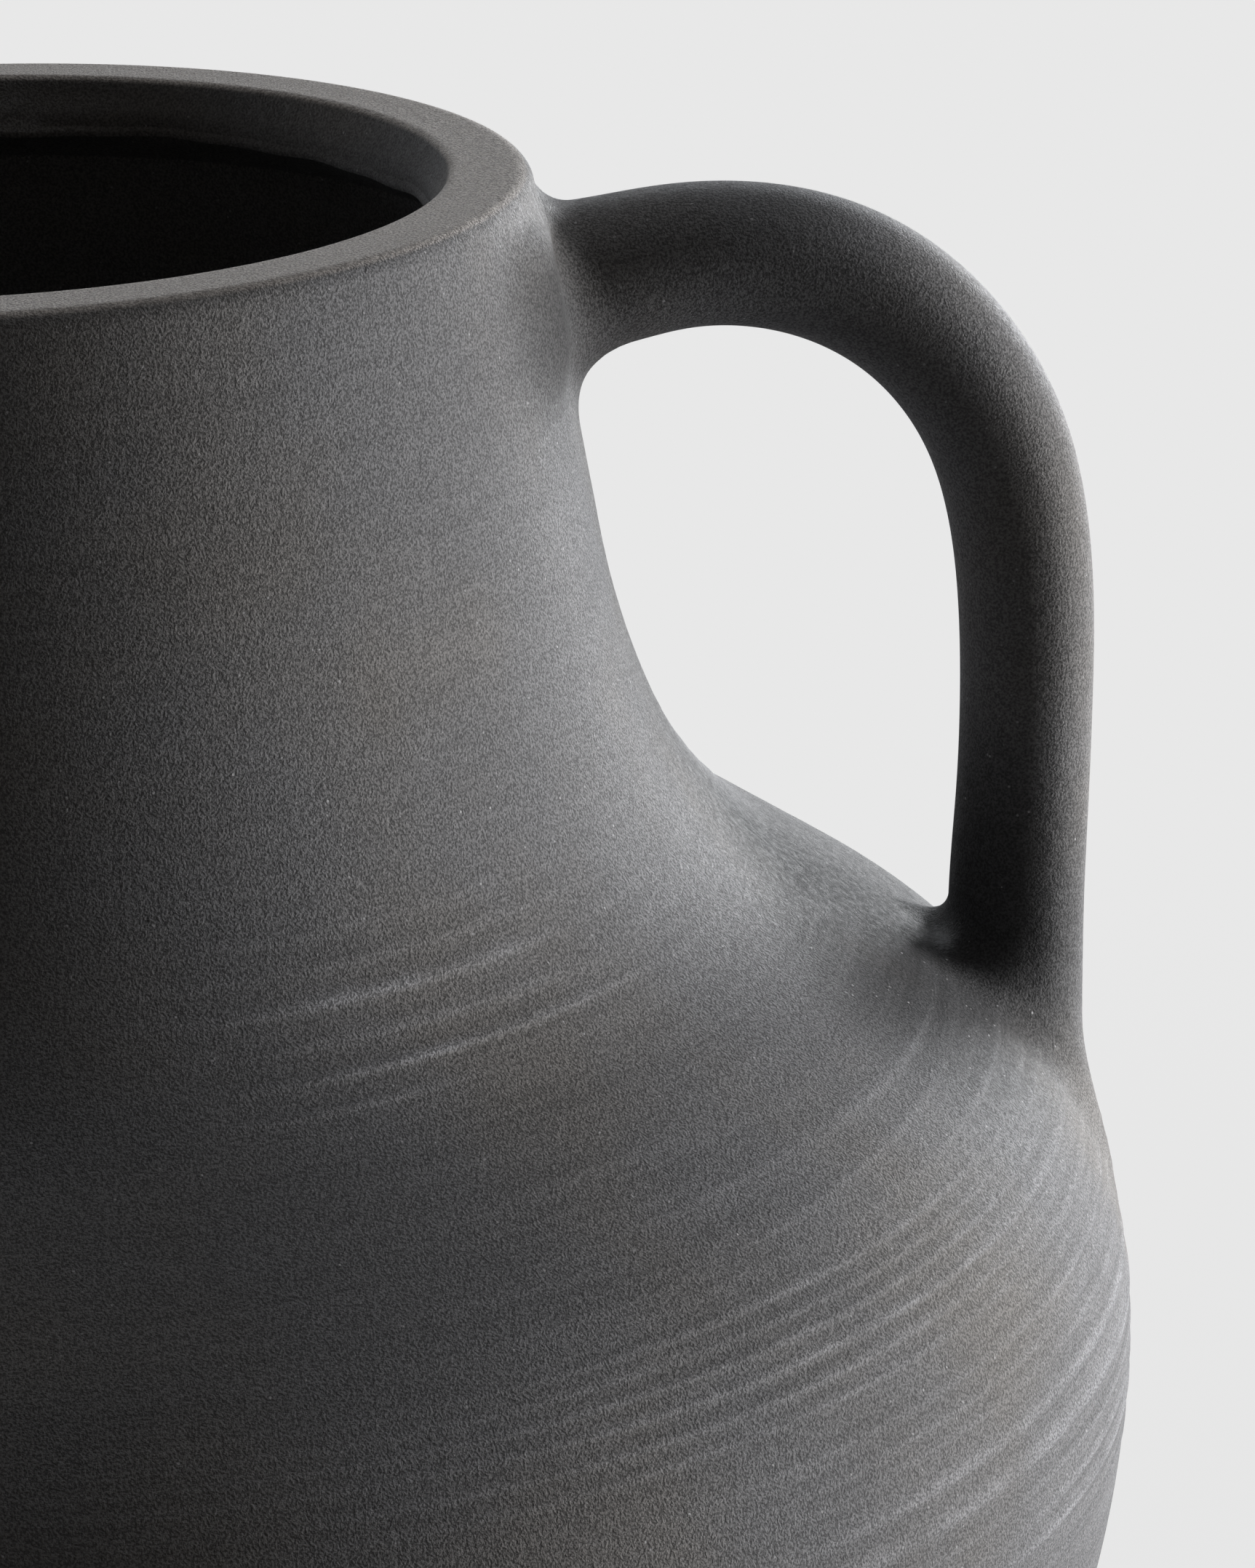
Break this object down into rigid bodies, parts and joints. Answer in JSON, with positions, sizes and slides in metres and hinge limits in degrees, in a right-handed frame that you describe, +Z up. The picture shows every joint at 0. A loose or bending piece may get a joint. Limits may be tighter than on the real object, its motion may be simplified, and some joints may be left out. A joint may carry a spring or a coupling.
{
  "type": "one-handled ceramic jar",
  "caption": "Round-bellied ceramic jar with a wide flat lip, a tapering neck and a strap handle from lip to shoulder.",
  "frame": {"origin": "centre of the foot's standing plane, on the jar's axis", "axes": "+Z up along the axis, +X towards the handle"},
  "size_m": [0.3036, 0.3036, 0.31],
  "materials": {
    "stoneware": "matte, unglazed, with a fine sandy grain"
  },
  "bodies": {
    "root": {"foot_ring": "stoneware", "lower_body": "stoneware", "upper_body": "stoneware", "neck": "stoneware", "lip_ring": "stoneware", "handle": "stoneware", "handle_neck_coil": "stoneware", "handle_shoulder_coil": "stoneware"}
  },
  "joints": []
}
